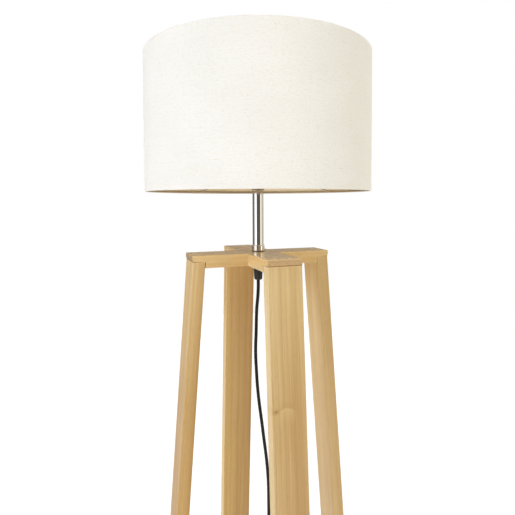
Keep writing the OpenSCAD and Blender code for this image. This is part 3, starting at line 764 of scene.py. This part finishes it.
def flex():
    """Round PVC-sheathed flex: semi-matte black, with faint lie of the cores and handling marks."""
    k = Mat("flex_pvc")
    k.put(Roughness=0.46, Specular_IOR_Level=0.2)
    skin = k.noise(k.mapping(k.co, scale=(1500, 1500, 1500)), 1.0, 2.0, 0.5)
    marks = k.noise(k.mapping(k.co, scale=(90, 90, 30)), 1.0, 4.0, 0.65)
    c = k.mix(k.span(marks, 0.35, 0.75, 0, 0.7), (0.0075, 0.0060, 0.0046), (0.014, 0.0116, 0.0092))
    c = k.mix(k.span(skin, 0.66, 0.8, 0, 0.3), c, (0.04, 0.036, 0.032))
    k.colour(c)
    k.rough(k.math("ADD", k.span(marks, 0.3, 0.7, 0.36, 0.52), k.span(skin, 0.4, 0.7, 0, 0.06)))
    k.bump(k.noise(k.mapping(k.co, scale=(320, 320, 110)), 1.0, 2.0, 0.5), 0.25, 0.0002)
    k.bump(skin, 0.12, 0.00008)
    return k.m


flex_mat = flex()
mats["flex_drop"] = mats["flex_coiled"] = mats["inner_lead"] = flex_mat


def tie_fabric():
    k = Mat("tie_loops")
    k.put(Roughness=0.9, Sheen_Weight=0.4, Sheen_Roughness=0.5)
    loops = k.n("ShaderNodeTexVoronoi", feature="F1")
    k.link(k.mapping(k.co, scale=(1700, 1700, 1700)), loops.inputs["Vector"])
    loops.inputs["Scale"].default_value = 1.0
    rows = k.noise(k.mapping(k.co, scale=(350, 350, 900)), 1.0, 3.0, 0.6)
    c = k.ramp(loops.outputs["Distance"], [(0.0, (0.055, 0.055, 0.058)), (0.6, (0.022, 0.022, 0.024)), (1.0, (0.006, 0.006, 0.007))])
    c = k.mix(k.span(rows, 0.35, 0.7, 0, 0.4), c, (0.03, 0.03, 0.032))
    k.colour(c)
    k.bump(loops.outputs["Distance"], 0.6, 0.0003)
    return k.m


mats["flex_tie"] = tie_fabric()


def cloth_coords(k, radius):
    """(metres round the drum, height) from the object's own coordinates."""
    sep = k.n("ShaderNodeSeparateXYZ")
    k.link(k.mapping(k.co, rotation=(0, 0, math.pi - SEAM)), sep.inputs[0])
    u = k.math("MULTIPLY", k.math("ARCTAN2", sep.outputs["Y"], sep.outputs["X"]), radius)
    comb = k.n("ShaderNodeCombineXYZ")
    k.link(u, comb.inputs["X"])
    k.link(sep.outputs["Z"], comb.inputs["Y"])
    return comb.outputs[0], u, sep.outputs["Z"]


def linen_mat():
    """Natural linen laminated to the drum: plain weave of uneven yarns, with slubs and a few darker flecks."""
    k = Mat("linen_weave")
    k.put(Roughness=0.86, Specular_IOR_Level=0.25, Sheen_Weight=0.12, Sheen_Roughness=0.5)
    uv, u, v = cloth_coords(k, 0.2)
    # yarns wander a little
    wander = k.noise(k.mapping(uv, scale=(26, 26, 1)), 1.0, 2.0, 0.5)
    off = k.span(wander, 0.0, 1.0, -0.0006, 0.0006)
    uu, vv = k.math("ADD", u, off), k.math("ADD", v, off)
    pitch = 0.00085
    warp = k.math("SINE", k.math("MULTIPLY", uu, 2 * math.pi / pitch))
    weft = k.math("SINE", k.math("MULTIPLY", vv, 2 * math.pi / pitch))
    warp2 = k.math("SINE", k.math("MULTIPLY", uu, math.pi / pitch))
    weft2 = k.math("SINE", k.math("MULTIPLY", vv, math.pi / pitch))
    over = k.math("MULTIPLY", warp2, weft2)
    weave = k.math("ADD", k.math("MULTIPLY", k.math("ABSOLUTE", over), 0.7), k.math("MULTIPLY", k.math("MULTIPLY", warp, weft), 0.3))
    # yarns of uneven thickness: long streaks both ways
    yarn_h = k.noise(k.mapping(uv, scale=(16, 900, 1)), 1.0, 3.0, 0.6)
    yarn_v = k.noise(k.mapping(uv, scale=(900, 14, 1), location=(3.1, 7.7, 0)), 1.0, 3.0, 0.6)
    slub_h = k.span(k.noise(k.mapping(uv, scale=(60, 1150, 1), location=(1.3, 4.2, 0)), 1.0, 2.0, 0.5), 0.655, 0.76)
    slub_v = k.span(k.noise(k.mapping(uv, scale=(1150, 85, 1), location=(5.3, 2.2, 0)), 1.0, 2.0, 0.5), 0.72, 0.80)
    fleck = k.span(k.noise(k.mapping(uv, scale=(420, 560, 1), location=(9.1, 0.4, 0)), 1.0, 1.0, 0.4), 0.70, 0.78)
    cloud = k.noise(k.mapping(uv, scale=(9, 12, 1)), 1.0, 3.0, 0.55)
    c = k.ramp(k.span(cloud, 0.3, 0.7), [(0, srgb(227, 226, 222)), (1, srgb(232, 231, 228))])
    c = k.mix(k.span(yarn_h, 0.42, 0.75, 0, 0.24), c, srgb(222, 211, 185))
    coarse = k.noise(k.mapping(uv, scale=(190, 330, 1), location=(2.7, 8.8, 0)), 1.0, 3.0, 0.65)
    c = k.mix(k.span(coarse, 0.48, 0.78, 0, 0.34), c, srgb(212, 198, 168))
    c = k.mix(k.span(yarn_v, 0.45, 0.78, 0, 0.12), c, srgb(228, 219, 196))
    c = k.mix(k.math("MULTIPLY", slub_h, 0.55), c, srgb(196, 177, 140))
    c = k.mix(k.math("MULTIPLY", slub_v, 0.26), c, srgb(202, 186, 152))
    c = k.mix(k.math("MULTIPLY", fleck, 0.55), c, srgb(168, 144, 104))
    c = k.mix(k.span(weave, 0.25, 0.0, 0, 0.22), c, srgb(205, 192, 164))
    k.colour(c)
    k.bump(weave, 0.35, 0.00012)
    k.bump(k.math("ADD", k.math("ADD", yarn_h, yarn_v), k.math("ADD", slub_h, slub_v)), 0.3, 0.00016)
    return k.m


mats["linen_cover"] = linen_mat()


def lining_mat():
    """Styrene sheet with the linen's weave pressed through it, in a pale gold."""
    k = Mat("lining_styrene")
    k.put(Roughness=0.42, Specular_IOR_Level=0.4)
    uv, u, v = cloth_coords(k, 0.198)
    cloud = k.noise(k.mapping(uv, scale=(12, 16, 1)), 1.0, 4.0, 0.6)
    press = k.noise(k.mapping(uv, scale=(700, 700, 1)), 1.0, 2.0, 0.5)
    streak = k.noise(k.mapping(uv, scale=(8, 240, 1)), 1.0, 3.0, 0.6)
    c = k.ramp(k.span(cloud, 0.28, 0.72), [(0, srgb(234, 215, 178)), (1, srgb(241, 225, 192))])
    c = k.mix(k.span(streak, 0.45, 0.75, 0, 0.3), c, srgb(222, 198, 154))
    k.colour(c)
    k.rough(k.span(cloud, 0.3, 0.7, 0.36, 0.5))
    k.bump(press, 0.15, 0.0001)
    return k.m


mats["shade_liner"] = lining_mat()

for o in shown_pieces():
    if o.name in mats and o.type == "MESH":
        o.data.materials.clear()
        o.data.materials.append(mats[o.name])


# ---------------------------------------------------------------- floor and light
# Radiance of each part of the studio. Azimuths are in degrees from +X; the camera stands at 250.
POWER = {"room": 1.0, "key": 3.2, "fill": 1.95, "rear": 0.87, "back": 0.45, "sky": 0.78, "floor": 0.36}


SEEN_FLOOR = 0.26


def make_floor():
    n, big = 96, 4.2
    verts = [(big * math.cos(2 * math.pi * i / n), big * math.sin(2 * math.pi * i / n), -0.0004) for i in range(n)]
    floor = new_object("studio_floor", verts, [tuple(range(n))], smooth=False)
    k = Mat("floor_paper")
    k.put(Roughness=0.9, Specular_IOR_Level=0.1, Emission_Color=(1, 1, 1, 1), Emission_Strength=POWER["floor"])
    grain = k.noise(k.mapping(k.co, scale=(3, 3, 3)), 1.0, 3.0, 0.5)
    k.colour(k.mix(k.span(grain, 0.3, 0.7), (0.855, 0.855, 0.85), (0.87, 0.87, 0.865)))
    # the lens sees the paper just at white, with soft shadows; the lamp sees it a little dimmer
    seen = k.n("ShaderNodeLightPath").outputs["Is Camera Ray"]
    k.link(k.span(seen, 0, 1, POWER["floor"], SEEN_FLOOR), k.b.inputs["Emission Strength"])
    floor.data.materials.append(k.m)
    return floor


make_floor()


class Sky:
    """The studio round the lamp, as a function of direction: tall soft boxes in a dim room under a pale ceiling."""

    def __init__(self):
        self.world = D.worlds.new("studio")
        scene.world = self.world
        self.world.use_nodes = True
        self.t = self.world.node_tree
        self.t.nodes.clear()
        way = self.t.nodes.new("ShaderNodeTexCoord").outputs["Generated"]
        level = self.vec("MULTIPLY", way, (1, 1, 0))
        self.flat = self.vec("NORMALIZE", level)
        sep = self.t.nodes.new("ShaderNodeSeparateXYZ")
        self.t.links.new(way, sep.inputs[0])
        self.z = sep.outputs["Z"]
        self.total = None

    def vec(self, op, a, b=None):
        node = self.t.nodes.new("ShaderNodeVectorMath")
        node.operation = op
        self.t.links.new(a, node.inputs[0])
        if b is not None:
            node.inputs[1].default_value = b
        return node.outputs["Value" if op == "DOT_PRODUCT" else "Vector"]

    def op(self, kind, a, b):
        node = self.t.nodes.new("ShaderNodeMath")
        node.operation = kind
        for i, v in enumerate((a, b)):
            if isinstance(v, (int, float)):
                node.inputs[i].default_value = v
            else:
                self.t.links.new(v, node.inputs[i])
        return node.outputs[0]

    def step(self, value, a, b, lo=0.0, hi=1.0):
        node = self.t.nodes.new("ShaderNodeMapRange")
        node.interpolation_type = "SMOOTHSTEP"
        self.t.links.new(value, node.inputs["Value"])
        for k, v in (("From Min", a), ("From Max", b), ("To Min", lo), ("To Max", hi)):
            node.inputs[k].default_value = v
        return node.outputs[0]

    def strip(self, azimuth, half, soft):
        """1 within half degrees of an azimuth, fading over soft degrees to each side of that edge."""
        c = math.radians(azimuth)
        near = self.vec("DOT_PRODUCT", self.flat, (math.cos(c), math.sin(c), 0))
        return self.step(near, math.cos(math.radians(half + soft)), math.cos(math.radians(max(0, half - soft))))

    def tall(self, lo, hi, soft=0.08):
        return self.op("MULTIPLY", self.step(self.z, lo - soft, lo + soft), self.step(self.z, hi + soft, hi - soft))

    def either(self, soft, sharp):
        """The shape that matt surfaces see, or the one that mirrors see: flags in front of the soft boxes shade only the chrome."""
        g = self.t.nodes.new("ShaderNodeLightPath").outputs["Is Glossy Ray"]
        node = self.t.nodes.new("ShaderNodeMapRange")
        self.t.links.new(g, node.inputs["Value"])
        self.t.links.new(soft, node.inputs["To Min"])
        self.t.links.new(sharp, node.inputs["To Max"])
        return node.outputs[0]

    def add(self, level, shape, tint):
        if not level:
            return
        node = self.t.nodes.new("ShaderNodeVectorMath")
        node.operation = "SCALE"
        node.inputs[0].default_value = tint
        self.t.links.new(self.op("MULTIPLY", shape, level), node.inputs["Scale"])
        if self.total is None:
            self.total = node.outputs[0]
        else:
            both = self.t.nodes.new("ShaderNodeVectorMath")
            both.operation = "ADD"
            self.t.links.new(self.total, both.inputs[0])
            self.t.links.new(node.outputs[0], both.inputs[1])
            self.total = both.outputs[0]

    def finish(self):
        out = self.t.nodes.new("ShaderNodeOutputWorld")
        mix = self.t.nodes.new("ShaderNodeMixShader")
        path = self.t.nodes.new("ShaderNodeLightPath")
        seen = self.t.nodes.new("ShaderNodeBackground")
        seen.inputs[0].default_value = (1, 1, 1, 1)
        room = self.t.nodes.new("ShaderNodeBackground")
        room.inputs[0].default_value = (0, 0, 0, 1)
        if self.total is not None:
            self.t.links.new(self.total, room.inputs[0])
        self.t.links.new(path.outputs["Is Camera Ray"], mix.inputs[0])
        self.t.links.new(room.outputs[0], mix.inputs[1])
        self.t.links.new(seen.outputs[0], mix.inputs[2])
        self.t.links.new(mix.outputs[0], out.inputs[0])


sky = Sky()
WALL = sky.step(sky.z, 0.72, 0.42)  # the walls, below the ceiling
# a dim room, dimmest behind the camera
dim = sky.op("SUBTRACT", 0.20, sky.op("MULTIPLY", sky.strip(259, 30, 8), 0.085))
sky.add(POWER["room"], sky.op("MULTIPLY", dim, WALL), (1.0, 0.94, 0.86))
key = sky.either(sky.strip(211, 20, 5), sky.op("MULTIPLY", sky.strip(198, 22, 4), 0.5))
fill = sky.either(sky.strip(320, 15, 6), sky.op("MULTIPLY", sky.strip(315, 13, 6), 0.66))
sky.add(POWER["key"], sky.op("MULTIPLY", key, sky.tall(-0.35, 0.78)), (0.97, 1.0, 1.075))
sky.add(POWER["fill"], sky.op("MULTIPLY", fill, sky.tall(-0.35, 0.78)), (1.0, 0.955, 0.76))
rear = sky.either(sky.strip(14, 24, 14), sky.op("MULTIPLY", sky.strip(14, 24, 14), 0.6))
back = sky.either(sky.strip(72, 40, 20), sky.op("MULTIPLY", sky.strip(72, 24, 14), 0.22))
sky.add(POWER["rear"], sky.op("MULTIPLY", rear, WALL), (1.0, 0.96, 0.90))
sky.add(POWER["back"], sky.op("MULTIPLY", back, WALL), (1.0, 0.96, 0.90))
sky.add(POWER["sky"], sky.step(sky.z, 0.42, 0.72), (1.0, 0.985, 0.955))
sky.finish()

scene.view_settings.view_transform = "Standard"
scene.view_settings.look = "None"
scene.view_settings.exposure = 0.0
scene.view_settings.gamma = 1.0
